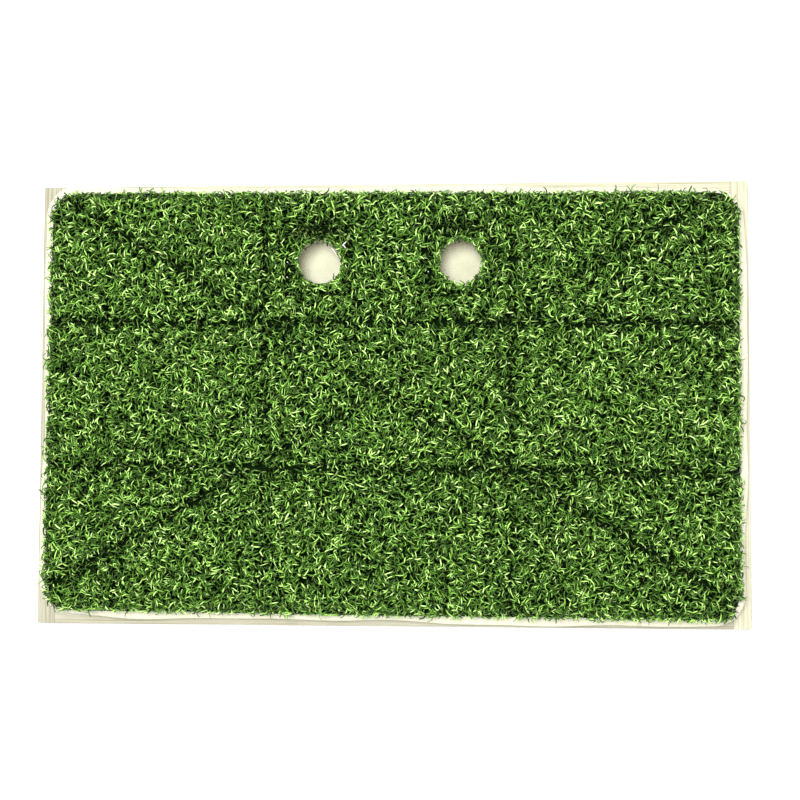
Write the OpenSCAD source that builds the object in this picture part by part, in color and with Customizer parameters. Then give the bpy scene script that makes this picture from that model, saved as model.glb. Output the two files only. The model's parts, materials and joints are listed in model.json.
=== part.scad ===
// Golf hitting mat: a turf pad, sewn through foam and fabric, bonded to a trimmed base board.
// The origin is at the middle of the underside. +X runs along the long side, +Y points to the
// side with the tee holes and +Z is up. Every size is in millimetres.

/* [Base board] */
// Length of the base
base_length = 610; // [610:5:760]
// Width of the base
base_width = 380; // [380:5:500]
// Thickness of the skin under the core
bottom_skin_t = 1; // [0.5:0.1:2]
// Thickness of the core
core_t = 6; // [3:0.5:15]
// Thickness of the skin on top of the core
top_skin_t = 1; // [0.5:0.1:2]

/* [Edge trims] */
// Wall thickness of the trims
trim_t = 1; // [0.8:0.1:2]
// Width of the trims' flange on top of the board
trim_flange = 15; // [12:0.5:16]

/* [Hitting pad] */
// Length of the pad, at the foam's edges
pad_length = 600; // [590:2:604]
// Width of the pad, at the foam's edges
pad_width = 370; // [360:2:374]
// Radius of the pad's corners
pad_corner_r = 26; // [15:1:35]
// Distance from the foam's edge to the turf's edge
turf_inset = 4; // [2:0.5:6]
// Angle that the pad lies off square on the base
pad_turn = -0.4; // [-0.6:0.1:0.6]
// Thickness of the fabric under the foam
fabric_t = 0.8; // [0.4:0.1:1.5]
// Thickness of the foam
foam_t = 8.2; // [4:0.2:15]
// Thickness of the latex coat on the back of the turf
latex_t = 1.2; // [0.6:0.1:2]
// Thickness of the woven cloth that holds the tufts
woven_t = 0.8; // [0.4:0.1:1.5]
// Height of the pile
pile_h = 16; // [8:1:25]

/* [Tee holes] */
// Radius of the holes through the pad
tee_hole_r = 20; // [15:0.5:21]
// Clear ring between a hole and the roots of the pile
tee_hole_margin = 2; // [1:0.5:3]
// Distance from the middle of the pad to each hole, along the length
tee_hole_x = 60; // [55:1:65]
// Distance from the middle of the pad to the holes, across the width
tee_hole_y = 120; // [115:1:125]

/* [Seams] */
// Place of the long seam behind the middle
rear_seam_y = 67; // [60:1:70]
// Place of the long seam in front of the middle
front_seam_y = -57; // [-70:1:-50]
// Place of the cross seam on the left
left_seam_x = -106; // [-120:1:-105]
// Place of the cross seam on the right
right_seam_x = 104; // [98:1:120]
// Side of the sewn square round each tee hole
hole_seam_side = 54; // [52:1:60]
// Distance from the ends of the long and cross seams to the turf's edge
seam_end_gap = 8; // [7:0.5:12]
// Distance from one stitch to the next
stitch_pitch = 8; // [7:0.5:12]
// Length of one stitch
stitch_length = 5; // [3:0.5:6]
// Diameter of the thread
thread_d = 0.8; // [0.4:0.1:0.9]
// Width of the parting in the pile along a seam, at the roots
parting_root_w = 4; // [2:0.5:5]
// Width of the parting in the pile along a seam, at the tips
parting_tip_w = 9; // [6:0.5:12]

/* [Hidden] */
$fn = 96;

// Heights of the layers, from the floor up
core_z = bottom_skin_t;
top_skin_z = core_z + core_t;
adhesive_z = top_skin_z + top_skin_t;
pad_z = adhesive_z + trim_t;
foam_z = pad_z + fabric_t;
latex_z = foam_z + foam_t;
woven_z = latex_z + latex_t;
pile_z = woven_z + woven_t;

// The board lies inside the trims, and the adhesive lies between them
board_length = base_length - 2 * trim_t;
board_width = base_width - 2 * trim_t;
bed_length = base_length - 2 * trim_flange;
bed_width = base_width - 2 * trim_flange;

// Half the turf's length and width
turf_half_length = pad_length / 2 - turf_inset;
turf_half_width = pad_width / 2 - turf_inset;

// The diagonal seams cross the turf from corner to corner, a little off its centre
falling_seam_start = [-turf_half_length + 21, turf_half_width - 12];
falling_seam_end = [turf_half_length - 16, -turf_half_width + 22];
rising_seam_start = [-turf_half_length + 21, -turf_half_width + 29];
rising_seam_end = [turf_half_length - 29, turf_half_width - 9];

// Half the height of a stitch, whose six-sided section lies on one of its flats
stitch_half_h = thread_d / 2 * cos(30);

// How far the partings run past the ends of their seams, to clear the turf's edge
parting_run = 60;

// Numbers of the seams in the list below
REAR = 0;
FRONT = 1;
LEFT = 2;
RIGHT = 3;
FALLING = 4;
RISING = 5;
LEFT_HOLE = 6;
RIGHT_HOLE = 7;

// Each seam is a list of straight stretches, and each stretch is its two ends
seams = [
    [along_length(rear_seam_y)],
    [along_length(front_seam_y)],
    [along_width(left_seam_x)],
    [along_width(right_seam_x)],
    [[falling_seam_start, falling_seam_end]],
    [[rising_seam_start, rising_seam_end]],
    square_stretches(-tee_hole_x),
    square_stretches(tee_hole_x)
];

function along_length(y) =
    let (x = turf_half_length - seam_end_gap)
    [[-x, y], [x, y]];

function along_width(x) =
    let (y = turf_half_width - seam_end_gap)
    [[x, -y], [x, y]];

function square_stretches(x) =
    let (
        h = hole_seam_side / 2,
        corners = [for (c = [[-h, -h], [h, -h], [h, h], [-h, h]]) [x, tee_hole_y] + c]
    )
    [for (i = [0:3]) [corners[i], corners[(i + 1) % 4]]];

function span(stretch) = stretch[1] - stretch[0];
function direction(stretch) = span(stretch) / norm(span(stretch));
function heading(stretch) = atan2(span(stretch)[1], span(stretch)[0]);
function turn_of(a, b) = a[0] * b[1] - a[1] * b[0];

// The middles of the stitches that fill a stretch, spread evenly over it
function stitch_middles(stretch) =
    let (
        count = floor(norm(span(stretch)) / stitch_pitch),
        start = (norm(span(stretch)) - (count - 1) * stitch_pitch) / 2
    )
    [for (i = [0:count - 1]) stretch[0] + direction(stretch) * (start + i * stitch_pitch)];

// True if a stitch lies where another stretch crosses it
function meets(middle, along, other) =
    let (
        offset = middle - other[0],
        past = offset * direction(other),
        aside = abs(turn_of(offset, direction(other))),
        reach = stitch_length / 2 * abs(turn_of(along, direction(other))) + thread_d
    )
    aside < reach && past > -stitch_length && past < norm(span(other)) + stitch_length;

function crossed(number, middle, along) =
    len([for (k = [0:len(seams) - 1], other = seams[k])
        if (k != number && meets(middle, along, other)) k]) > 0;

// Puts the pad's parts where the pad lies on the base
module on_base() {
    rotate([0, 0, pad_turn])
        children();
}

module rounded_rectangle(length, width, r) {
    square([length - 2 * r, width], center = true);
    square([length, width - 2 * r], center = true);
    for (x = [-1, 1], y = [-1, 1])
        translate([x * (length / 2 - r), y * (width / 2 - r)])
            circle(r);
}

module tee_holes(r) {
    for (side = [-1, 1])
        translate([side * tee_hole_x, tee_hole_y])
            circle(r);
}

// Strips of one width along the middle of every seam
module seam_strips(width) {
    for (k = [REAR:RISING])
        translate(seams[k][0][0])
            rotate([0, 0, heading(seams[k][0])])
                translate([-parting_run, -width / 2])
                    square([norm(span(seams[k][0])) + 2 * parting_run, width]);
    for (side = [-1, 1])
        translate([side * tee_hole_x, tee_hole_y])
            difference() {
                square(hole_seam_side + width, center = true);
                square(hole_seam_side - width, center = true);
            }
}

// The pad's outline with its tee holes; inset is how far a layer's edge lies inside the foam's
module pad_outline(inset = 0, hole_r = tee_hole_r) {
    difference() {
        rounded_rectangle(pad_length - 2 * inset, pad_width - 2 * inset, pad_corner_r - inset);
        tee_holes(hole_r);
    }
}

module pad_sheet(z, thickness, inset = 0) {
    on_base()
        translate([0, 0, z])
            linear_extrude(thickness)
                pad_outline(inset);
}

module plate(length, width, z, thickness) {
    translate([-length / 2, -width / 2, z])
        cube([length, width, thickness]);
}

// The board and the space under the trims' flanges, which the trims wrap
module wrapped_board() {
    translate([-board_length / 2, -board_width / 2, -trim_t])
        cube([board_length, board_width, adhesive_z + trim_t]);
}

// A side trim runs the whole width and closes its own ends; side is -1 or 1
module side_trim(side) {
    difference() {
        translate([side * (base_length - trim_flange) / 2 - trim_flange / 2, -base_width / 2, 0])
            cube([trim_flange, base_width, pad_z]);
        wrapped_board();
    }
}

// A long trim fills the space between the side trims; side is -1 or 1
module long_trim(side) {
    difference() {
        translate([-bed_length / 2, side * (base_width - trim_flange) / 2 - trim_flange / 2, 0])
            cube([bed_length, trim_flange, pad_z]);
        wrapped_board();
    }
}

// Stitches of one seam, lying flat against the layer above or below them
module stitches(number, z) {
    on_base()
        for (stretch = seams[number], middle = stitch_middles(stretch))
            if (!crossed(number, middle, direction(stretch)))
                translate([middle[0], middle[1], z])
                    rotate([0, 0, heading(stretch)])
                        rotate([0, 90, 0])
                            rotate([0, 0, 30])
                                cylinder(h = stitch_length, d = thread_d, center = true, $fn = 6);
}

module needle_thread(number) {
    color("mistyrose")
        stitches(number, pile_z + stitch_half_h);
}

module bobbin_thread(number) {
    color("linen")
        stitches(number, pad_z - stitch_half_h);
}

module base_bottom_skin() {
    color("cornsilk")
        plate(board_length, board_width, 0, bottom_skin_t);
}

module base_core() {
    color("beige")
        plate(board_length, board_width, core_z, core_t);
}

module base_top_skin() {
    color("cornsilk")
        plate(board_length, board_width, top_skin_z, top_skin_t);
}

module front_edge_trim() {
    color("ivory")
        long_trim(-1);
}

module rear_edge_trim() {
    color("ivory")
        long_trim(1);
}

module left_edge_trim() {
    color("ivory")
        side_trim(-1);
}

module right_edge_trim() {
    color("ivory")
        side_trim(1);
}

// The adhesive keeps clear of the tee holes and of the stitches under the pad
module adhesive_layer() {
    color("wheat")
        translate([0, 0, adhesive_z])
            linear_extrude(trim_t)
                intersection() {
                    square([bed_length, bed_width], center = true);
                    on_base()
                        difference() {
                            pad_outline(hole_r = tee_hole_r + tee_hole_margin);
                            seam_strips(parting_root_w);
                        }
                }
}

module pad_bottom_fabric() {
    color("gainsboro")
        pad_sheet(pad_z, fabric_t);
}

module shock_pad() {
    color("whitesmoke")
        pad_sheet(foam_z, foam_t);
}

module turf_latex_backing() {
    color("darkslategray")
        pad_sheet(latex_z, latex_t, turf_inset);
}

module turf_woven_backing() {
    color("darkgreen")
        pad_sheet(woven_z, woven_t, turf_inset);
}

// The pile stands in blocks that part along the seams, widely at the tips and narrowly at the roots
module turf_pile() {
    color("forestgreen")
        on_base()
            for (level = [0, 1])
                translate([0, 0, pile_z + level * pile_h / 2])
                    linear_extrude(pile_h / 2)
                        difference() {
                            pad_outline(turf_inset, tee_hole_r + tee_hole_margin);
                            seam_strips(level == 0 ? parting_root_w : parting_tip_w);
                        }
}

base_bottom_skin();
base_core();
base_top_skin();
front_edge_trim();
rear_edge_trim();
left_edge_trim();
right_edge_trim();
adhesive_layer();
pad_bottom_fabric();
shock_pad();
turf_latex_backing();
turf_woven_backing();
turf_pile();
needle_thread(REAR);  // rear_seam_needle_thread
bobbin_thread(REAR);  // rear_seam_bobbin_thread
needle_thread(FRONT);  // front_seam_needle_thread
bobbin_thread(FRONT);  // front_seam_bobbin_thread
needle_thread(LEFT);  // left_seam_needle_thread
bobbin_thread(LEFT);  // left_seam_bobbin_thread
needle_thread(RIGHT);  // right_seam_needle_thread
bobbin_thread(RIGHT);  // right_seam_bobbin_thread
needle_thread(FALLING);  // falling_seam_needle_thread
bobbin_thread(FALLING);  // falling_seam_bobbin_thread
needle_thread(RISING);  // rising_seam_needle_thread
bobbin_thread(RISING);  // rising_seam_bobbin_thread
needle_thread(LEFT_HOLE);  // left_hole_needle_thread
bobbin_thread(LEFT_HOLE);  // left_hole_bobbin_thread
needle_thread(RIGHT_HOLE);  // right_hole_needle_thread
bobbin_thread(RIGHT_HOLE);  // right_hole_bobbin_thread
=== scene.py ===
"""Looks of the golf hitting mat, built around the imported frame, in metres."""

import json
import math

import bpy
import numpy as np
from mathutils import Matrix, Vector


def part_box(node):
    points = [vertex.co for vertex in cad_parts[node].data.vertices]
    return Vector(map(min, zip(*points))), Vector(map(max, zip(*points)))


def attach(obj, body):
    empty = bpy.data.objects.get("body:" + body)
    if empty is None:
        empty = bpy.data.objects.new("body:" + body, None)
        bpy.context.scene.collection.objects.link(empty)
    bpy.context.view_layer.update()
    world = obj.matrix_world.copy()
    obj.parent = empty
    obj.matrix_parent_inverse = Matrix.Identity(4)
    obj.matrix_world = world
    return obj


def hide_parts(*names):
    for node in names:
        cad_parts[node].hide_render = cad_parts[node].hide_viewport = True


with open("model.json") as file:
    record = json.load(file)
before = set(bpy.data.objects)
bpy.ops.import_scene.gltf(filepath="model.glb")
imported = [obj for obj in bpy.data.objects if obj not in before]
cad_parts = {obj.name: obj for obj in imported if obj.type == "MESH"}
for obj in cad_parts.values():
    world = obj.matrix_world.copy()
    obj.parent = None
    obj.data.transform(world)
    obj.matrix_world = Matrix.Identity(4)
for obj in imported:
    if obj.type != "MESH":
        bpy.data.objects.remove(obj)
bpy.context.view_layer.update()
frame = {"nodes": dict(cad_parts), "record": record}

MM = 0.001
NODES = frame["nodes"]
BODY = "root"

STRAIGHT_SEAMS = ("rear", "front", "left", "right", "falling", "rising")
HOLE_SIDES = ("left", "right")


# ---------------------------------------------------------------- places from the frame

def coordinates(mesh):
    """A mesh's vertices, one row each."""
    flat = np.empty(len(mesh.vertices) * 3)
    mesh.vertices.foreach_get("co", flat)
    return flat.reshape(-1, 3)


def corners_of(node):
    """A CAD node's vertices."""
    return coordinates(NODES[node].data)


def main_direction(points):
    """The horizontal direction that points spread along most, towards +X or, failing that, +Y."""
    flat = points[:, :2] - points[:, :2].mean(0)
    along = np.linalg.svd(flat, full_matrices=False)[2][0]
    return along if along[0] + 0.01 * along[1] > 0 else -along


def turned(points, angle):
    """Points turned about the row's Z axis."""
    c, s = math.cos(angle), math.sin(angle)
    out = np.array(points, float)
    x, y = out[..., 0].copy(), out[..., 1].copy()
    out[..., 0] = c * x - s * y
    out[..., 1] = s * x + c * y
    return out


REAR_DIRECTION = main_direction(corners_of("rear_seam_needle_thread"))
PAD_TURN = math.atan2(REAR_DIRECTION[1], REAR_DIRECTION[0])


def in_pad(points):
    """Row frame to the pad's own frame, which lies a little off square."""
    return turned(points, -PAD_TURN)


def in_row(points):
    """The pad's own frame to the row frame."""
    return turned(points, PAD_TURN)


def outline_of(node):
    """Half the sides of a cut layer, and its corners' radius, in the pad's frame."""
    points = in_pad(corners_of(node))[:, :2]
    half = points.max(0)
    # A side starts to turn into its corner one radius before its end
    side = points[points[:, 1] > half[1] - 0.01 * MM, 0]
    return half, half[0] - np.abs(side).max()


FOAM_OUTLINE = outline_of("shock_pad")
TURF_OUTLINE = outline_of("turf_woven_backing")

FOAM_LOW, FOAM_HIGH = (c.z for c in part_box("shock_pad"))
LATEX_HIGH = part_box("turf_latex_backing")[1].z
PILE_LOW, PILE_HIGH = (c.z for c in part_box("turf_pile"))
PILE_HEIGHT = PILE_HIGH - PILE_LOW
FABRIC_LOW, FABRIC_HIGH = (c.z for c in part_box("pad_bottom_fabric"))

MOUNTS = {m["name"]: m for m in frame["record"]["mounts"]}
TEE_HOLES = [MOUNTS["tee_hole_" + side] for side in HOLE_SIDES]
HOLE_CENTRES = in_pad([m["pos_m"] for m in TEE_HOLES])[:, :2]
HOLE_R = TEE_HOLES[0]["dims"]["r_mm"] * MM


def straight_seam(name):
    """One end of a straight seam, its direction and its length, in the pad's frame."""
    points = in_pad(corners_of(name + "_seam_needle_thread"))[:, :2]
    along = main_direction(points)
    middle = points.mean(0)
    past = (points - middle) @ along
    return middle + along * past.min(), along, past.max() - past.min()


SEAMS = {name: straight_seam(name) for name in STRAIGHT_SEAMS}


def square_half(side):
    """Half the side of the sewn square round a tee hole, to the thread's middle."""
    points = in_pad(corners_of(side + "_hole_needle_thread"))
    low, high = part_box(side + "_hole_needle_thread")
    thread = high.z - low.z
    return float((points.max(0) - points.min(0))[:2].mean() - thread) / 2


SQUARE_HALF = square_half("left")


def beside(points, seam):
    """How far points lie to the left of a straight seam's line, with its sign."""
    start, along, _ = SEAMS[seam]
    offset = points[..., :2] - start
    return along[0] * offset[..., 1] - along[1] * offset[..., 0]


def inside_edge(points):
    """How far points lie inside the turf's rounded outline, negative outside."""
    half, r = TURF_OUTLINE
    q = np.abs(points[..., :2]) - (half - r)
    outside = np.linalg.norm(np.maximum(q, 0), axis=-1)
    return r - outside - np.minimum(q.max(-1), 0)


def square_gap(points, centre):
    """How far points lie from the sewn square round a tee hole, negative inside it."""
    return np.abs(points[..., :2] - centre).max(-1) - SQUARE_HALF


def hole_distance(points):
    """How far points lie outside the nearest tee hole's wall."""
    gaps = [np.linalg.norm(points[..., :2] - c, axis=-1) - HOLE_R for c in HOLE_CENTRES]
    return np.min(gaps, axis=0)


# ---------------------------------------------------------------- small tools

def linked(name, data):
    """A new object in the scene, from a mesh, curve, light or camera."""
    ob = bpy.data.objects.new(name, data)
    bpy.context.scene.collection.objects.link(ob)
    return ob


def evaluated_mesh(ob):
    """The mesh that an object's curve or modifiers make."""
    bpy.context.view_layer.update()
    graph = bpy.context.evaluated_depsgraph_get()
    return bpy.data.meshes.new_from_object(ob.evaluated_get(graph))


def add_mesh(name, verts, faces_by_size, smooth=True):
    """A mesh object from vertices and arrays of faces, one array for each number of corners."""
    mesh = bpy.data.meshes.new(name)
    mesh.vertices.add(len(verts))
    mesh.vertices.foreach_set("co", np.asarray(verts, np.float32).ravel())
    loops = np.concatenate([f.ravel() for f in faces_by_size]).astype(np.int32)
    sizes = np.concatenate([np.full(len(f), f.shape[1]) for f in faces_by_size])
    starts = np.concatenate([[0], np.cumsum(sizes)[:-1]]).astype(np.int32)
    mesh.loops.add(len(loops))
    mesh.loops.foreach_set("vertex_index", loops)
    mesh.polygons.add(len(sizes))
    mesh.polygons.foreach_set("loop_start", starts)
    mesh.polygons.foreach_set("use_smooth", np.full(len(sizes), smooth))
    mesh.update(calc_edges=True)
    return linked(name, mesh)


def tube_faces(rings, sides):
    """The side faces and both end faces of a tube whose vertices run ring by ring."""
    quads = np.array([
        [r * sides + k, r * sides + (k + 1) % sides,
         (r + 1) * sides + (k + 1) % sides, (r + 1) * sides + k]
        for r in range(rings - 1) for k in range(sides)
    ])
    k = np.arange(sides)
    return quads, np.array([k[::-1], k + (rings - 1) * sides])


def hand_over(ob, material, slot, *nodes):
    """Gives a finished piece its material, and ties it to the frame."""
    ob.data.materials.clear()
    ob.data.materials.append(material)
    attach(ob, BODY)
    if nodes:
        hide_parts(*nodes)
    return ob


def unit(vectors):
    """Vectors of the same directions, one long."""
    return vectors / np.maximum(np.linalg.norm(vectors, axis=-1, keepdims=True), 1e-12)


def ease(low, high, x):
    """0 below low and 1 above high, with a smooth rise between."""
    t = np.clip((x - low) / (high - low), 0, 1)
    return t * t * (3 - 2 * t)


def arc(centre, r, first, last, count):
    """Points along an arc between two angles."""
    a = np.linspace(first, last, count)
    return np.stack([centre[0] + r * np.cos(a), centre[1] + r * np.sin(a)], -1)


def rounded_loop(outline, inset, spacing):
    """A layer's rounded outline, in the pad's frame, with points about one spacing apart."""
    half = outline[0] - inset
    r = outline[1] - inset
    steps = max(6, int(r * math.pi / 2 / spacing))
    line = []
    for quarter, (sx, sy) in enumerate([(1, 1), (-1, 1), (-1, -1), (1, -1)]):
        centre = (sx * (half[0] - r), sy * (half[1] - r))
        line.append(arc(centre, r, quarter * math.pi / 2, (quarter + 1) * math.pi / 2, steps))
    line = np.concatenate(line)
    out = []
    for a, b in zip(line, np.roll(line, -1, 0)):
        count = max(1, int(np.linalg.norm(b - a) / spacing))
        out += [a + (b - a) * k / count for k in range(count)]
    return np.array(out)


# Corners further apart than this along a seam belong to different stitches
STITCH_GAP = 1.0 * MM


def stitches_of(node):
    """Each stitch of a CAD thread node: its middle, its direction and its length."""
    points = corners_of(node)
    low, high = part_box(node)
    pad_points = in_pad(points)[:, :2]
    if "_hole_" in node:
        centre = HOLE_CENTRES[HOLE_SIDES.index(node.split("_")[0])]
        offset = pad_points - centre
        upright = np.abs(offset[:, 0]) > np.abs(offset[:, 1])
        sides = [(upright, 0, -1), (upright, 0, 1), (~upright, 1, -1), (~upright, 1, 1)]
        runs = [pad_points[part & (offset[:, axis] * sign > 0)] for part, axis, sign in sides]
    else:
        runs = [pad_points]
    found = []
    for run in runs:
        along = main_direction(run)
        middle = run.mean(0)
        past = np.sort((run - middle) @ along)
        cuts = np.flatnonzero(np.diff(past) > STITCH_GAP)
        for part in np.split(past, cuts + 1):
            found.append((middle + along * (part[0] + part[-1]) / 2, along, part[-1] - part[0]))
    return found, float(low.z), float(high.z)


# ---------------------------------------------------------------- materials

class Shader:
    """A material and short ways to add its nodes."""

    def __init__(self, name, roughness=0.5, specular=0.5):
        self.material = bpy.data.materials.new(name)
        self.material.use_nodes = True
        self.tree = self.material.node_tree
        self.principled = self.tree.nodes["Principled BSDF"]
        self.principled.inputs["Roughness"].default_value = roughness
        self.principled.inputs["Specular IOR Level"].default_value = specular

    def node(self, kind, **inputs):
        """A new node, with its inputs set or linked by name."""
        made = self.tree.nodes.new("ShaderNode" + kind)
        for key, value in inputs.items():
            self.put(value, made.inputs[key.replace("_", " ")])
        return made

    def put(self, value, socket):
        """Links an output to a socket, or sets the socket's own value."""
        if isinstance(value, bpy.types.NodeSocket):
            self.tree.links.new(value, socket)
        else:
            socket.default_value = value

    def set(self, name, value):
        """An input of the surface shader."""
        self.put(value, self.principled.inputs[name])

    def place(self, stretch=(1, 1, 1)):
        """Object coordinates, stretched."""
        coords = self.node("TexCoord").outputs["Object"]
        return self.node("Mapping", Vector=coords, Scale=stretch).outputs[0]

    def noise(self, scale, detail=4.0, stretch=(1, 1, 1), roughness=0.5):
        """Soft noise from 0 to 1 across the object."""
        made = self.node("TexNoise", Vector=self.place(stretch), Scale=scale, Detail=detail)
        made.inputs["Roughness"].default_value = roughness
        return made.outputs["Fac"]

    def ramp(self, value, *stops):
        """A ramp of (position, grey or colour) stops."""
        made = self.node("ValToRGB", Fac=value)
        elements = made.color_ramp.elements
        while len(elements) < len(stops):
            elements.new(0.5)
        for element, (position, colour) in zip(elements, stops):
            element.position = position
            if not hasattr(colour, "__len__"):
                colour = (colour,) * 3
            element.color = (*colour, 1)
        return made.outputs["Color"]

    def math(self, operation, a, b):
        """A sum on two values, of which some operations use only the first."""
        made = self.node("Math")
        made.operation = operation
        self.put(a, made.inputs[0])
        self.put(b, made.inputs[1])
        return made.outputs[0]

    def spread(self, value, low, high, top):
        """0 below low, top above high, and a straight rise between."""
        made = self.node("MapRange", Value=value)
        made.inputs["From Min"].default_value = low
        made.inputs["From Max"].default_value = high
        made.inputs["To Max"].default_value = top
        return made.outputs[0]

    def times(self, a, b):
        """One colour multiplied by another."""
        made = self.node("Mix")
        made.data_type = "RGBA"
        made.blend_type = "MULTIPLY"
        made.inputs["Factor"].default_value = 1.0
        self.put(a, made.inputs["A"])
        self.put(b, made.inputs["B"])
        return made.outputs["Result"]

    def bump(self, height, strength, distance):
        """Fine relief on the surface."""
        made = self.node("Bump", Height=height, Strength=strength, Distance=distance)
        self.set("Normal", made.outputs[0])


def yarn_material(name, shades, painted_root_shade):
    """Curly turf yarn: one colour a blade, with painted shade deep inside the pile that lifts
    near the turf's edge, and painted light on the tips.
    """
    m = Shader(name, roughness=0.38, specular=0.22)
    geometry = m.node("NewGeometry")
    shade = m.ramp(geometry.outputs["Random Per Island"], *shades)
    place = m.node("Mapping", Vector=geometry.outputs["Position"], Rotation=(0, 0, -PAD_TURN))
    place = m.node("SeparateXYZ", Vector=place.outputs[0]).outputs
    rise = m.spread(place["Z"], PILE_LOW, PILE_HIGH, 1.0)
    # Painted light: the painted shade lifts from 5 mm inside the turf's edge outwards, where
    # light gets in from the side
    sides = [
        m.spread(m.math("ABSOLUTE", place[axis], 0.0), half - 5 * MM, half + 1 * MM, 0.5)
        for axis, half in zip("XY", TURF_OUTLINE[0])
    ]
    painted_light_level = m.math("ADD", rise, m.math("MAXIMUM", *sides))
    # Painted shade by height: near black at the roots and brighter than the yarn's own colour at
    # the tips, so lower pile in the partings and flattened spots reads darker
    depth = m.ramp(painted_light_level, (0.0, painted_root_shade), (0.5, 0.24), (0.78, 0.58), (1.0, 1.25))
    m.set("Base Color", m.times(shade, depth))
    return m.material


def streaked_plastic(name, stretch, painted_light_tone=1.0):
    """Cream extruded strip with fine streaks along its length and faint scuffs, scaled by a tone:
    below 1 it paints shade, above 1 it paints light.
    """
    m = Shader(name, specular=0.4)
    streaks = m.noise(1.0, 6.0, stretch, 0.65)
    clouds = m.noise(18.0, 3.0)
    shade = m.ramp(
        streaks,
        (0.38, (0.36, 0.345, 0.24)), (0.5, (0.49, 0.475, 0.35)), (0.62, (0.60, 0.585, 0.45)),
    )
    tint = m.ramp(clouds, (0.3, (0.93, 0.92, 0.88)), (0.7, (1, 1, 1)))
    # The tone scales the whole strip: painted shade below 1, painted light above 1
    m.set("Base Color", m.times(m.times(shade, tint), (painted_light_tone, painted_light_tone, painted_light_tone, 1)))
    m.set("Roughness", m.ramp(streaks, (0.3, 0.62), (0.7, 0.42)))
    m.bump(streaks, 0.35, 0.2 * MM)
    return m.material


def skin_plastic(name):
    """Smooth cream sheet, faintly mottled."""
    m = Shader(name, specular=0.4)
    mottle = m.noise(55.0, 5.0)
    cream = m.ramp(mottle, (0.35, (0.400, 0.396, 0.262)), (0.65, (0.412, 0.408, 0.272)))
    m.set("Base Color", cream)
    m.set("Roughness", m.ramp(m.noise(140.0), (0.3, 0.44), (0.7, 0.5)))
    m.bump(m.noise(420.0, 2.0), 0.05, 0.1 * MM)
    return m.material


def foam_material(name, colour, cell):
    """Closed-cell foam: a skin of small cells, darker in the middle of each cell, with faint
    uneven blotches.
    """
    m = Shader(name, roughness=0.8, specular=0.3)
    cells = m.node("TexVoronoi", Vector=m.place(), Scale=cell).outputs["Distance"]
    stain = m.ramp(m.noise(30.0, 4.0), (0.3, 0.92), (0.65, 1.0))
    pits = m.ramp(cells, (0.0, 0.9), (0.5, 1.0))
    m.set("Base Color", m.times(m.times(pits, stain), (*colour, 1)))
    m.bump(cells, 0.5, 0.3 * MM)
    return m.material


def woven_material(name, dark, light, pitch):
    """Flat woven cloth: warp and weft tapes that pass over each other."""
    m = Shader(name, roughness=0.85, specular=0.05)
    spot = m.node("SeparateXYZ", Vector=m.place())
    turns = 2 * math.pi / pitch
    warp = m.math("SINE", m.math("MULTIPLY", spot.outputs["X"], turns), 0.0)
    weft = m.math("SINE", m.math("MULTIPLY", spot.outputs["Y"], turns), 0.0)
    weave = m.math("MULTIPLY_ADD", m.math("MULTIPLY", warp, weft), 0.5)
    weave.node.inputs[2].default_value = 0.5
    fuzz = m.ramp(m.noise(90.0), (0.3, 0.8), (0.7, 1.0))
    m.set("Base Color", m.times(m.ramp(weave, (0.1, dark), (0.9, light)), fuzz))
    m.bump(weave, 0.6, 0.3 * MM)
    return m.material


def rubbery(name, dark, light):
    """Matt coat with a fine uneven skin."""
    m = Shader(name, specular=0.3)
    skin = m.noise(160.0, 5.0)
    m.set("Base Color", m.ramp(skin, (0.3, dark), (0.7, light)))
    m.set("Roughness", m.ramp(skin, (0.3, 0.85), (0.7, 0.6)))
    m.bump(skin, 0.4, 0.3 * MM)
    return m.material


def thread_material(name, dark, light):
    """Twisted thread: fine fibres along the ply."""
    m = Shader(name, roughness=0.5, specular=0.4)
    fibres = m.noise(2600.0, 2.0)
    m.set("Base Color", m.ramp(fibres, (0.3, dark), (0.7, light)))
    m.bump(fibres, 0.3, 0.05 * MM)
    return m.material


YARN_SHADES = (
    (0.00, (0.028, 0.064, 0.010)),
    (0.25, (0.042, 0.104, 0.013)),
    (0.52, (0.076, 0.186, 0.020)),
    (0.74, (0.180, 0.380, 0.052)),
    (0.90, (0.420, 0.700, 0.155)),
    (1.00, (0.590, 0.860, 0.290)),
)

TURF_YARN = yarn_material("turf_yarn", YARN_SHADES, 0.15)
ALONG_X = (9, 900, 900)
ALONG_Y = (900, 9, 900)
# The front and left strips are darkened with painted shade and the right one brightened with
# painted light: lit and shaded copies of one cream plastic
TRIMS = {
    "front": streaked_plastic("edge_trim_front_painted_shade", ALONG_X, 0.76),
    "rear": streaked_plastic("edge_trim_rear", ALONG_X),
    "left": streaked_plastic("edge_trim_left_painted_shade", ALONG_Y, 0.72),
    "right": streaked_plastic("edge_trim_right_painted_light", ALONG_Y, 1.08),
}
BASE_SKIN = skin_plastic("base_skin")
BASE_CORE = foam_material("base_core", (0.62, 0.60, 0.45), 900.0)
SHOCK_FOAM = foam_material("shock_foam", (0.66, 0.645, 0.49), 1300.0)
BOTTOM_FABRIC = woven_material(
    "bottom_fabric", (0.45, 0.44, 0.36), (0.66, 0.65, 0.55), 1.4 * MM
)
# The backing is dark cloth, pushed nearly to black as painted shade for the gaps between the
# blades
WOVEN_BACKING_PAINTED_SHADE = woven_material(
    "woven_backing", (0.002, 0.008, 0.001), (0.005, 0.018, 0.003), 2.2 * MM
)
LATEX = rubbery("latex", (0.02, 0.03, 0.02), (0.05, 0.065, 0.045))
ADHESIVE = rubbery("adhesive", (0.55, 0.48, 0.28), (0.68, 0.62, 0.40))
NEEDLE_THREAD = thread_material("needle_thread", (0.68, 0.57, 0.53), (0.88, 0.80, 0.77))
BOBBIN_THREAD = thread_material("bobbin_thread", (0.60, 0.57, 0.50), (0.80, 0.78, 0.70))


# ---------------------------------------------------------------- turf pile

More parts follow.
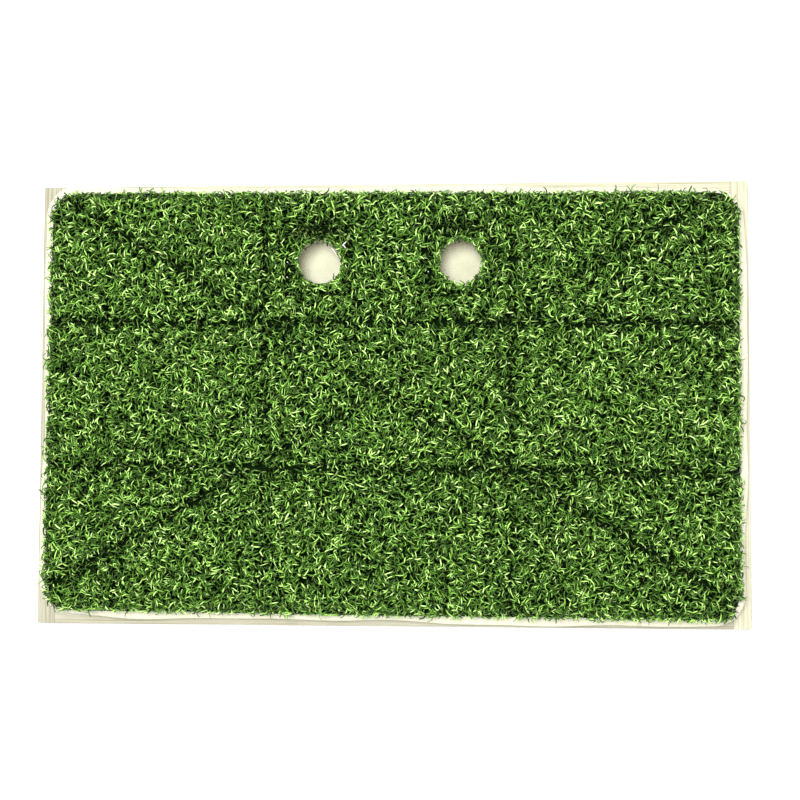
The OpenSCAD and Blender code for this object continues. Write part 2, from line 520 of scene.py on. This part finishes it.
# Tufts: their spacing, and how far they stray from it
GAUGE = 4.4 * MM
ROW_PITCH = 4.6 * MM
TUFT_SCATTER = 0.9 * MM
ROOT_FROM_EDGE = 2.0 * MM
ROOT_FROM_HOLE = 0.7 * MM
# Extra tufts along the turf's outline and round the tee holes
RIM_FROM_EDGE = 2.9 * MM
RIM_FROM_HOLE = 1.3 * MM
RIM_SPACING = 3.0 * MM
RIM_SCATTER = 0.4 * MM
TUFTS_ROUND_HOLE = 59
# Blades: means and spreads, in metres, degrees or shares
BLADES_A_TUFT = 6
BLADE_SCATTER = 0.7 * MM
RINGS = 8
BLADE_HALF_WIDTH = 0.56 * MM
BLADE_THICKNESS = 0.45 * MM
BLADE_LENGTH, LENGTH_SPREAD = 22.5 * MM, 2.6 * MM
TIP_LEAN, TIP_LEAN_SPREAD = 158, 38
TOP_HEIGHT, TOP_HEIGHT_SPREAD = 0.94, 0.12
SHORT_BLADES = 0.2
# How strongly blades lean over the turf's edge and into a tee hole, and from how far away
EDGE_PULL, EDGE_PULL_REACH = 0.5, 5 * MM
HOLE_PULL, HOLE_PULL_REACH = 1.6, 4 * MM
# How much of its height the pile loses in a parting and at the turf's edge, and how widely
VALLEY_DROP, PARTING_WIDTH = 0.44, 2.7 * MM
EDGE_DROP, EDGE_DROP_WIDTH = 0.3, 5.5 * MM
# How far inside its free reach the pile ends at each side, and what share of it the roots move
HELD_IN = {"left": 2.4 * MM, "right": 3.4 * MM, "rear": 2.0 * MM, "front": 2.6 * MM}
ROOTS_HELD_IN = 0.5
# The open part of each tee hole: its radius, and its middle from the hole's
CLEAR_HOLE_R = 18.4 * MM
CLEAR_HOLE_SHIFTS = np.array([[0.8, -3.6], [0.3, -1.1]]) * MM
# Of the blades that would cross these, the share that is turned aside
TURNED_SHARE = {"seam": 0.9, "square": 0.85}
# How far on average a blade may still reach across, and the share of the turned that folds back
SLACK = {"seam": 0.7 * MM, "square": 0.9 * MM, "hole": 1.2 * MM, "edge": 1.7 * MM}
FOLDED_SHARE = {"seam": 0.5, "square": 0.5, "hole": 0.15, "edge": 0.35}
# Blades that reach further than this past the turf's edge are left out, and most in a tee hole
STRAY_PAST_EDGE = 8.0 * MM
STRAY_IN_HOLE = 2.4 * MM
STRAY_SHARE = 0.8
# Stitches of the sewn squares that show, by number. Blades that come this near to one, above
# this height over the backing, are left out
BARE_STITCHES = ((2, 5), (3,))
BARE_R = 2.1 * MM
BARE_HEIGHT = 5 * MM
# How plainly the pile parts along each seam, from its left or front end to the other
PARTING = {
    "rear": (1.2, 1.25, 0.85, 1.05, 1.15, 1.1, 1.2),
    "front": (0.9, 1.05, 1.0, 1.0, 1.05, 1.25, 1.15),
    "left": (0.3, 0.4, 0.6, 0.6, 0.45),
    "right": (0.65, 0.5, 0.75, 0.6, 0.3),
    "falling": (0.8, 1.15, 0.8, 0.7, 1.1, 0.85, 1.2, 1.15),
    "rising": (1.2, 1.1, 0.8, 1.1, 0.2, 0.3, 1.1, 1.15),
}
SQUARE_PARTING = 0.4
# Flattened spots behind the tee holes: the middle and half the size of each
FLAT_SPOTS = (
    (HOLE_CENTRES[0] + np.array([-2.0, 27.0]) * MM, np.array([23.0, 9.0]) * MM),
    (HOLE_CENTRES[1] + np.array([-7.0, 29.0]) * MM, np.array([23.0, 6.0]) * MM),
)


def parting(points, seam):
    """How plainly the pile parts at points along a straight seam."""
    start, along, length = SEAMS[seam]
    if along[np.abs(along).argmax()] < 0:
        start, along = start + along * length, -along
    past = (points[..., :2] - start) @ along / length
    return np.interp(past, np.linspace(0, 1, len(PARTING[seam])), PARTING[seam])


def seam_gaps(points):
    """How far points lie from each seam's line, with how plainly the pile parts there."""
    gaps = [(np.abs(beside(points, seam)), parting(points, seam)) for seam in SEAMS]
    return gaps + [(np.abs(square_gap(points, c)), SQUARE_PARTING) for c in HOLE_CENTRES]


def valley(points):
    """How deep points lie in a parting or a flattened spot: 0 outside, 1 in a usual parting."""
    depth = [plain * np.exp(-(gap / PARTING_WIDTH) ** 2) for gap, plain in seam_gaps(points)]
    for middle, size in FLAT_SPOTS:
        depth.append(np.exp(-(((points[..., :2] - middle) / size) ** 4).sum(-1)))
    return np.max(depth, axis=0)


def away_from(points, gap, step=0.2 * MM):
    """The horizontal direction in which a distance grows."""
    dx = gap(points + [step, 0]) - gap(points - [step, 0])
    dy = gap(points + [0, step]) - gap(points - [0, step])
    return unit(np.stack([dx, dy], -1))


def held_in(points):
    """How far in the pile is held along each side, unevenly at the right and the front."""
    outward = -away_from(points, inside_edge)
    along = points / (2 * TURF_OUTLINE[0])
    sides = {
        "left": -outward[..., 0],
        "right": outward[..., 0] * (0.5 + along[..., 1]),
        "rear": outward[..., 1],
        "front": -outward[..., 1] * (0.5 - along[..., 0]),
    }
    return sum(HELD_IN[side] * np.maximum(share, 0) for side, share in sides.items())


def tuft_roots(rng):
    """The tufts' places on the backing, in staggered rows with a little scatter."""
    half = TURF_OUTLINE[0]
    columns = np.arange(-half[0], half[0], GAUGE)
    rows = np.arange(-half[1], half[1], ROW_PITCH)
    x, y = np.meshgrid(columns, rows)
    x = x + (np.arange(len(rows)) % 2)[:, None] * GAUGE / 2
    roots = np.stack([x.ravel(), y.ravel()], -1)
    return roots + rng.normal(0, TUFT_SCATTER, roots.shape)


def rim_roots(rng):
    """Tufts close along the turf's outline and round the tee holes, which hide the backing."""
    outline = rounded_loop(TURF_OUTLINE, RIM_FROM_EDGE, RIM_SPACING)
    rims = [
        arc(c, HOLE_R + RIM_FROM_HOLE, 0, 2 * math.pi, TUFTS_ROUND_HOLE + 1)[:-1]
        for c in HOLE_CENTRES
    ]
    roots = np.concatenate([outline, *rims])
    near_edge = np.arange(len(roots)) < len(outline)
    held = near_edge * held_in(roots) * ROOTS_HELD_IN
    inward = away_from(roots, inside_edge) * held[:, None]
    return roots + inward + rng.normal(0, RIM_SCATTER, roots.shape)


def rooted(root):
    """Which blades have backing to stand in, clear of the seams, the holes and the edge."""
    keep = inside_edge(root) > ROOT_FROM_EDGE + held_in(root) * ROOTS_HELD_IN
    keep &= hole_distance(root) > ROOT_FROM_HOLE
    for gap, plain in seam_gaps(root):
        keep &= gap > (0.3 + 0.5 * plain) * MM
    return keep


def blade_lines(rng, root, names):
    """The middle line of each blade, from its root: up, then curling over, with a sway."""
    n = len(root)
    edge = inside_edge(root)
    hole = hole_distance(root)
    near_edge = np.exp(-edge / (6 * MM))
    low_pile = 1 - VALLEY_DROP * valley(root)
    low_pile *= 1 - EDGE_DROP * np.exp(-(edge / EDGE_DROP_WIDTH) ** 2)
    low_pile *= np.where(rng.random(n) < SHORT_BLADES, rng.uniform(0.35, 0.6, n), 1)
    length = rng.normal(BLADE_LENGTH, LENGTH_SPREAD, n) * low_pile
    # Blades of one field lean one way a little, and those near an edge or a hole over it
    nap = {name: rng.normal(0, 0.22, 2) for name in np.unique(names)}
    pull = unit(rng.normal(0, 1, (n, 2))) + np.array([nap[name] for name in names])
    over_edge = EDGE_PULL * np.exp(-edge / EDGE_PULL_REACH)
    pull -= away_from(root, inside_edge) * over_edge[:, None]
    over_hole = HOLE_PULL * np.exp(-hole / HOLE_PULL_REACH)
    pull -= away_from(root, hole_distance) * over_hole[:, None]
    azimuth = np.arctan2(pull[:, 1], pull[:, 0])
    # The lean grows from the root's to the tip's once the blade starts to bend over
    lean_start = np.radians(rng.uniform(0, 20, n)) + 0.12 * near_edge
    lean_end = np.radians(rng.normal(TIP_LEAN, TIP_LEAN_SPREAD, n)) * (1 - 0.6 * near_edge)
    bend_start = rng.uniform(0.42, 0.8, n)
    sway = rng.normal(0, 1.3, n)
    wave = rng.normal(0, 0.75, n)
    phase = rng.uniform(0, 2 * math.pi, n)
    s = np.linspace(0, 1, RINGS)[None, :] ** 0.85
    bent = np.clip((s - bend_start[:, None]) / (1 - bend_start[:, None]), 0, 1) ** 1.15
    lean = lean_start[:, None] + (lean_end - lean_start)[:, None] * bent
    heading = azimuth[:, None] + sway[:, None] * s ** 1.5
    heading += wave[:, None] * (np.sin(phase[:, None] + 7.0 * s) - np.sin(phase[:, None]))
    step = np.stack(
        [np.sin(lean) * np.cos(heading), np.sin(lean) * np.sin(heading), np.cos(lean)], -1
    )
    middle = (step[:, 1:] + step[:, :-1]) / 2 * (np.diff(s) * length[:, None])[..., None]
    line = np.zeros((n, RINGS, 3))
    line[:, 1:] = np.cumsum(middle, 1)
    top = line[..., 2].max(1)
    height = np.minimum(rng.normal(TOP_HEIGHT, TOP_HEIGHT_SPREAD, n), 1.2)
    wanted = PILE_HEIGHT * height * low_pile
    line[..., 2] *= np.minimum(1, wanted / top)[:, None]
    line[..., :2] += root[:, None]
    return line


def turned_aside(rng, line, which, normal, room, folded):
    """Keeps blades off a place: some fold back over their roots, the rest stand up against it."""
    which = np.flatnonzero(which)
    root = line[which, :1, :2]
    reach = line[which, :, :2] - root
    across = np.einsum("nrk,nk->nr", reach, normal[which])
    squeeze = np.clip(room[which] / np.maximum(-across.min(1), 1e-6), 0.0, 1.0)
    squeeze[rng.random(len(which)) < folded] = -1.0
    change = (squeeze[:, None] - 1) * across
    line[which, :, :2] = root + reach + change[..., None] * normal[which][:, None]


def hole_reach(points, centre):
    """How far points reach into the open part of a tee hole, whose rim of pile is uneven."""
    on_left = centre[0] < 0
    offset = points[..., :2] - centre - CLEAR_HOLE_SHIFTS[0 if on_left else 1]
    angle = np.arctan2(offset[..., 1], offset[..., 0])
    stretch = (0.3 * MM if on_left else -0.3 * MM) * np.cos(2 * angle)
    lobes = 0.4 * MM * np.sin(3 * angle + 0.6) + 0.4 * MM * np.sin(5 * angle + 2.0)
    return CLEAR_HOLE_R + stretch + lobes - np.linalg.norm(offset, axis=-1)


def held_back(rng, line):
    """Turns aside most blades that would lie over a seam, a tee hole or the turf's edge."""
    root = line[:, 0, :2]
    n = len(line)
    for seam in SEAMS:
        gap = beside(line, seam)
        side = np.sign(gap[:, :1])
        # Where the parting is faint, blades reach further across
        slack = (1 - parting(root, seam)) * 1.2 * MM + rng.exponential(SLACK["seam"], n)
        room = np.abs(gap[:, 0]) - 0.3 * MM + slack
        over = ((gap - gap[:, :1]) * side).min(1) < -room
        over &= rng.random(n) < TURNED_SHARE["seam"]
        along = SEAMS[seam][1]
        normal = side * [-along[1], along[0]]
        turned_aside(rng, line, over, normal, room, FOLDED_SHARE["seam"])
    for centre in HOLE_CENTRES:
        gap = square_gap(line, centre)
        side = np.sign(gap[:, :1])
        room = np.abs(gap[:, 0]) + rng.exponential(SLACK["square"], n)
        over = ((gap - gap[:, :1]) * side).min(1) < -room
        over &= rng.random(n) < TURNED_SHARE["square"]
        normal = side * away_from(root, lambda p: square_gap(p, centre))
        turned_aside(rng, line, over, normal, room, FOLDED_SHARE["square"])
    for centre in HOLE_CENTRES:
        slack = rng.exponential(SLACK["hole"], n)
        room = np.maximum(-hole_reach(root, centre), 0) + slack
        over = hole_reach(line, centre).max(1) > slack
        turned_aside(rng, line, over, unit(root - centre), room, FOLDED_SHARE["hole"])
    slack = rng.exponential(SLACK["edge"], n) - 1.0 * MM - held_in(root)
    room = inside_edge(root) + slack
    over = inside_edge(line).min(1) < -slack
    turned_aside(rng, line, over, away_from(root, inside_edge), room, FOLDED_SHARE["edge"])
    stray = inside_edge(line).min(1) < -STRAY_PAST_EDGE
    for centre in HOLE_CENTRES:
        in_hole = hole_reach(line, centre).max(1) > STRAY_IN_HOLE
        stray |= in_hole & (rng.random(n) < STRAY_SHARE)
    for spot in bare_stitches():
        gap = np.linalg.norm(line[..., :2] - spot, axis=-1)
        stray |= ((gap < BARE_R) & (line[..., 2] > BARE_HEIGHT)).any(1)
    return line[~stray]


def bare_stitches():
    """The middles of the few stitches round the tee holes that show through the pile."""
    for side, shown in zip(HOLE_SIDES, BARE_STITCHES):
        stitches = stitches_of(side + "_hole_needle_thread")[0]
        for number in shown:
            yield stitches[number][0]


def ribbon_frames(line):
    """Each ring's width axis and face normal: a tape bends about its width."""
    along = unit(np.gradient(line, axis=1))
    bend = np.gradient(along, axis=1)
    axis = unit(np.cross(along, bend))
    for ring in range(1, RINGS):
        back = np.einsum("nk,nk->n", axis[:, ring], axis[:, ring - 1]) < 0
        axis[back, ring] *= -1
        axis[:, ring] = unit(axis[:, ring] + axis[:, ring - 1])
    axis = unit(axis - along * np.einsum("nrk,nrk->nr", axis, along)[..., None])
    return axis, np.cross(axis, along)


def blade_mesh(name, line, rng):
    """Closed three-sided blades along the lines, narrower at the root and cut at the tip."""
    n = len(line)
    width_axis, face = ribbon_frames(line)
    s = np.linspace(0, 1, RINGS)
    taper = 0.55 + 0.45 * ease(0, 0.3, s) - 0.3 * ease(0.82, 1, s)
    twist = rng.normal(0, 0.35, (n, 1)) + rng.normal(0, 0.7, (n, 1)) * s
    c, d = np.cos(twist)[..., None], np.sin(twist)[..., None]
    width_axis, face = c * width_axis + d * face, c * face - d * width_axis
    half = (rng.normal(1, 0.14, (n, 1)) * BLADE_HALF_WIDTH * taper)[..., None]
    thick = BLADE_THICKNESS * taper[None, :, None]
    rings = np.stack(
        [line - width_axis * half, line + width_axis * half, line + face * thick], 2
    )
    base = np.arange(n)[:, None, None] * RINGS * 3
    quads, ends = tube_faces(RINGS, 3)
    verts = in_row(rings.reshape(-1, 3))
    return add_mesh(name, verts, [(quads + base).reshape(-1, 4), (ends + base).reshape(-1, 3)])


def field_names(root):
    """The name of the field of turf, between the seams, that each root stands in."""
    def side(seam, left, right):
        return np.where(beside(root, seam) > 0, left, right)

    row = np.where(beside(root, "rear") > 0, "rear", side("front", "middle", "front"))
    column = np.where(beside(root, "left") > 0, "left", side("right", "centre", "right"))
    name = np.char.add(np.char.add(row, "_"), column)
    falling = side("falling", "_behind", "_ahead")
    rising = side("rising", "_behind", "_ahead")
    half = np.where(root[:, 0] > root[:, 0].mean(), "_east", "_west")
    middle = np.where(name == "middle_centre", np.char.add(falling, rising), "")
    part = np.where(np.isin(name, ["rear_left", "front_right"]), falling, middle)
    part = np.where(np.isin(name, ["rear_right", "front_left"]), rising, part)
    part = np.where(np.isin(name, ["rear_centre", "front_centre"]), half, part)
    halfway = np.mean([SEAMS["rear"][0][1], SEAMS["front"][0][1]])
    aside = np.where(root[:, 1] > halfway, "_north", "_south")
    part = np.where(np.isin(name, ["middle_left", "middle_right"]), aside, part)
    return np.char.add(name, part)


def turf_pile():
    """The pile, one piece for each field of turf."""
    rng = np.random.default_rng(11)
    tufts = tuft_roots(rng)
    tufts = np.concatenate([tufts, rim_roots(rng)])
    root = np.repeat(tufts, BLADES_A_TUFT, axis=0)
    root = root + rng.normal(0, BLADE_SCATTER, root.shape)
    root = root[rooted(root)]
    line = held_back(rng, blade_lines(rng, root, field_names(root)))
    line[..., 2] += PILE_LOW
    names = field_names(line[:, 0])
    for name in np.unique(names):
        ob = blade_mesh("pile_" + str(name), line[names == name], rng)
        hand_over(ob, TURF_YARN, "turf_yarn", "turf_pile")


turf_pile()


# ---------------------------------------------------------------- sewing

# Each ply of a stitch: its radius as a share of the thread's height, and its turns
PLY_SHARE = 0.27
PLY_TURNS = 1.6
PLY_RINGS = 13
# A loop or a loose end: its radius over a ply's
STRAND_OVER_PLY = 2.7
STRAND_RINGS = 22
SIDES = 6


def tube(points, r):
    """The vertices of a smooth tube through points."""
    points = np.array(list(points), float)
    s = np.linspace(0, len(points) - 1, STRAND_RINGS)
    line = np.stack([np.interp(s, range(len(points)), points[:, k]) for k in range(3)], -1)
    for _ in range(3):
        line[1:-1] = (line[:-2] + 2 * line[1:-1] + line[2:]) / 4
    along = unit(np.gradient(line, axis=0))
    across = unit(np.cross(along, [0.0, 0.0, 1.0]))
    up = np.cross(across, along)
    a = np.arange(SIDES) * 2 * math.pi / SIDES
    ring = across[:, None] * np.cos(a)[None, :, None] + up[:, None] * np.sin(a)[None, :, None]
    return (line[:, None] + r * ring).reshape(-1, 3)


def loose_ends(low):
    """Frayed thread at the rear right of the left tee hole: points from the hole's middle."""
    x, y = HOLE_CENTRES[0]
    top = LATEX_HIGH + 0.86 * PILE_HEIGHT
    strands = (
        (
            (27.0, 22.0, low), (25.4, 19.0, top - 1 * MM),
            (20.8, 13.4, top + 1.4 * MM), (16.0, 8.8, top - 3 * MM),
        ),
        (
            (20.4, 13.4, top + 1.6 * MM), (21.8, 11.6, top + 1.4 * MM),
            (24.0, 9.2, top - 1.5 * MM),
        ),
        (
            (8.4, 14.0, low), (10.2, 11.4, low + 8 * MM),
            (13.0, 7.6, low + 9 * MM), (16.6, 2.4, low + 4 * MM),
        ),
    )
    return [[(x + px * MM, y + py * MM, z) for px, py, z in strand] for strand in strands]


def slack_loop(middle, along, length, low):
    """A stitch that the pile has pushed up: points from one end over the top to the other."""
    top = PILE_LOW + 0.88 * PILE_HEIGHT
    shape = ((-0.45, 0), (-0.5, 0.55), (-0.25, 0.95), (0.25, 1), (0.5, 0.6), (0.45, 0))
    for past, height in shape:
        yield (*(middle + along * length * past * 1.15), low + (top - low) * height)


def thread_stitches(node, material, slot, seed):
    """Two-ply stitches: each is a low arch of two strands twisted round each other."""
    rng = np.random.default_rng(seed)
    found, low, high = stitches_of(node)
    ply_r = (high - low) * PLY_SHARE
    s = np.linspace(0, 1, PLY_RINGS)
    angles = np.arange(SIDES) * 2 * math.pi / SIDES
    verts, quads, ends = [], [], []

    def add_strand(points, rings):
        """Adds one closed strand to the piece."""
        base = sum(map(len, verts))
        side_faces, end_faces = tube_faces(rings, SIDES)
        verts.append(points)
        quads.append(side_faces + base)
        ends.append(end_faces + base)

    for middle, along, length in found:
        across = np.array([-along[1], along[0]])
        start = rng.uniform(0, 2 * math.pi)
        drift = rng.normal(0, 0.12 * MM)
        for ply in (0, math.pi):
            turn = start + ply + s * 2 * math.pi * PLY_TURNS
            x = (s - 0.5) * length * 0.98
            arch = (low + ply_r * 1.9) + (high - low) * 0.25 * np.sin(math.pi * s)
            y = ply_r * np.cos(turn) + drift * np.sin(math.pi * s)
            z = arch + ply_r * np.sin(turn)
            centre = middle + x[:, None] * along + y[:, None] * across
            ring = np.empty((PLY_RINGS, SIDES, 3))
            ring[..., :2] = centre[:, None] + (np.cos(angles) * ply_r)[None, :, None] * across
            ring[..., 2] = z[:, None] + np.sin(angles) * ply_r
            add_strand(ring.reshape(-1, 3), PLY_RINGS)
    strands = []
    if "_hole_" in node:
        side = HOLE_SIDES.index(node.split("_")[0])
        strands = [slack_loop(*found[number], low + ply_r) for number in BARE_STITCHES[side]]
        if side == 0:
            strands += loose_ends(low + ply_r)
    for strand in strands:
        add_strand(tube(strand, ply_r * STRAND_OVER_PLY), STRAND_RINGS)
    ob = add_mesh(
        node + "_stitches", in_row(np.concatenate(verts)),
        [np.concatenate(quads), np.concatenate(ends)],
    )
    return hand_over(ob, material, slot, node)


for number, seam_node in enumerate(sorted(n for n in NODES if n.endswith("needle_thread"))):
    thread_stitches(seam_node, NEEDLE_THREAD, "needle_thread", 100 + number)


# ---------------------------------------------------------------- layers of the pad

def wavy(line, rng, size, waves):
    """A closed outline moved in and out by slow waves."""
    ahead = np.roll(line, -1, 0) - np.roll(line, 1, 0)
    normal = unit(np.stack([ahead[:, 1], -ahead[:, 0]], -1))
    along = np.cumsum(np.linalg.norm(np.diff(line, axis=0, prepend=line[-1:]), axis=1))
    around = along / along[-1] * 2 * math.pi
    push = np.zeros(len(line))
    for wave in waves:
        push += rng.normal(0, 1) * np.sin(wave * around + rng.uniform(0, 2 * math.pi))
    push *= size / math.sqrt(len(waves))
    return line + normal * push[:, None]


# How far from the front left corner the foam's cut-back edge reaches
TUCK_SIZE = np.array([80.0, 30.0]) * MM


def slab(name, outline, low, high, edge, inset, wave, seed, hole_grow=0.0, tuck=0.0):
    """A cut layer of the pad, with rounded edges, a wavy outline and both tee holes."""
    rng = np.random.default_rng(seed)
    loop = wavy(rounded_loop(outline, inset, 3 * MM), rng, wave, (3, 5, 8, 12, 16, 21))
    # The front left corner is cut back
    from_corner = np.linalg.norm((loop + outline[0]) / TUCK_SIZE, axis=-1)
    loops = [loop - loop / outline[0] * (tuck * np.exp(-from_corner ** 2))[:, None]]
    for centre in HOLE_CENTRES:
        ring = arc(centre, HOLE_R + hole_grow, 0, 2 * math.pi, 73)[:-1]
        loops.append(wavy(ring, rng, wave * 0.3, (2, 3, 5, 7)))
    curve = bpy.data.curves.new(name, "CURVE")
    curve.dimensions = "2D"
    curve.fill_mode = "BOTH"
    curve.extrude = (high - low) / 2 - edge
    curve.bevel_depth = edge
    curve.bevel_resolution = 2
    curve.offset = -edge
    for loop in loops:
        spline = curve.splines.new("POLY")
        spline.points.add(len(loop) - 1)
        points = np.zeros((len(loop), 4))
        points[:, :2] = in_row(loop)
        points[:, 3] = 1
        spline.points.foreach_set("co", points.ravel())
        spline.use_cyclic_u = True
    shaped = linked(name + "_outline", curve)
    mesh = evaluated_mesh(shaped)
    bpy.data.objects.remove(shaped)
    bpy.data.curves.remove(curve)
    mesh.name = name
    points = coordinates(mesh)
    points[:, 2] += (low + high) / 2
    mesh.vertices.foreach_set("co", points.ravel())
    return linked(name, mesh)


def flat_size(outline):
    """The width and the length that a layer was cut to."""
    return tuple(float(2 * half) for half in outline[0][::-1])


foam = slab(
    "shock_pad_foam", FOAM_OUTLINE, FOAM_LOW, FOAM_HIGH,
    edge=1.6 * MM, inset=-1.0 * MM, wave=1.8 * MM, seed=21, tuck=4 * MM,
)
hand_over(foam, SHOCK_FOAM, "foam", "shock_pad")

fabric = slab(
    "pad_bottom_cloth", FOAM_OUTLINE, FABRIC_LOW, FABRIC_HIGH,
    edge=0.2 * MM, inset=0.3 * MM, wave=0.6 * MM, seed=22,
)
hand_over(fabric, BOTTOM_FABRIC, "bottom_fabric", "pad_bottom_fabric")
flat_size(FOAM_OUTLINE)

latex = slab(
    "turf_latex_coat", TURF_OUTLINE, FOAM_HIGH, LATEX_HIGH,
    edge=0.3 * MM, inset=1.5 * MM, wave=0.4 * MM, seed=23, hole_grow=0.8 * MM,
)
hand_over(latex, LATEX, "latex", "turf_latex_backing")

woven = slab(
    "turf_woven_cloth", TURF_OUTLINE, LATEX_HIGH, PILE_LOW,
    edge=0.2 * MM, inset=1.2 * MM, wave=0.4 * MM, seed=24, hole_grow=0.6 * MM,
)
hand_over(woven, WOVEN_BACKING_PAINTED_SHADE, "woven_backing", "turf_woven_backing")
flat_size(TURF_OUTLINE)


# ---------------------------------------------------------------- base board

def softened(node, name, width):
    """A copy of a CAD node with its sharp edges rounded."""
    mesh = NODES[node].data.copy()
    mesh.name = name
    ob = linked(name, mesh)
    weld = ob.modifiers.new("weld", "WELD")
    weld.merge_threshold = 0.01 * MM
    flat = ob.modifiers.new("flat", "DECIMATE")
    flat.decimate_type = "DISSOLVE"
    flat.angle_limit = math.radians(1)
    rounding = ob.modifiers.new("rounding", "BEVEL")
    rounding.width = width
    rounding.segments = 3
    rounding.limit_method = "ANGLE"
    shaped = evaluated_mesh(ob)
    ob.modifiers.clear()
    ob.data = shaped
    ob.data.shade_smooth()
    bpy.data.meshes.remove(mesh)
    return ob


for trim_side, trim_material in TRIMS.items():
    trim_node = trim_side + "_edge_trim"
    strip = softened(trim_node, trim_side + "_trim_strip", 0.45 * MM)
    hand_over(strip, trim_material, "edge_trim", trim_node)

CAD_FINISHES = {
    "base_bottom_skin": BASE_SKIN,
    "base_top_skin": BASE_SKIN,
    "base_core": BASE_CORE,
    "adhesive_layer": ADHESIVE,
}
for kept_node, kept_object in NODES.items():
    finish = BOBBIN_THREAD if kept_node.endswith("bobbin_thread") else CAD_FINISHES.get(kept_node)
    if finish:
        kept_object.data.materials.clear()
        kept_object.data.materials.append(finish)


# ---------------------------------------------------------------- floor, light and camera

def studio():
    """A plain pale floor with soft light from above and behind."""
    bpy.ops.mesh.primitive_plane_add(size=12.0, location=(0, 0, -0.1 * MM))
    floor = bpy.context.object
    floor.name = "floor"
    paper = Shader("floor_paper", roughness=0.9, specular=0.1)
    paper.set("Base Color", (0.82, 0.82, 0.81, 1))
    floor.data.materials.append(paper.material)
    world = bpy.data.worlds.new("studio")
    bpy.context.scene.world = world
    world.use_nodes = True
    sky = world.node_tree.nodes["Background"].inputs
    sky["Color"].default_value = (1, 1, 1, 1)
    sky["Strength"].default_value = 0.38
    for name, place, size, power in (
        ("key", (-0.3, 0.3, 2.3), 1.2, 88),
        ("fill", (0.7, -0.9, 2.1), 1.6, 22),
    ):
        light = bpy.data.lights.new(name, "AREA")
        light.shape = "DISK"
        light.size = size
        light.energy = power
        ob = linked(name, light)
        ob.location = place
        ob.rotation_euler = (-Vector(place)).to_track_quat("-Z", "Y").to_euler()


def add_camera():
    """Almost straight above, a little towards the front right."""
    data = bpy.data.cameras.new("camera")
    data.lens = 67.92
    data.sensor_width = 36
    camera = linked("camera", data)
    camera.location = (0.0940, -0.0698, 1.3)
    camera.rotation_euler = [math.radians(a) for a in (3.23, 3.77, 0.2)]
    bpy.context.scene.camera = camera


studio()
add_camera()
bpy.context.scene.view_settings.view_transform = "Standard"
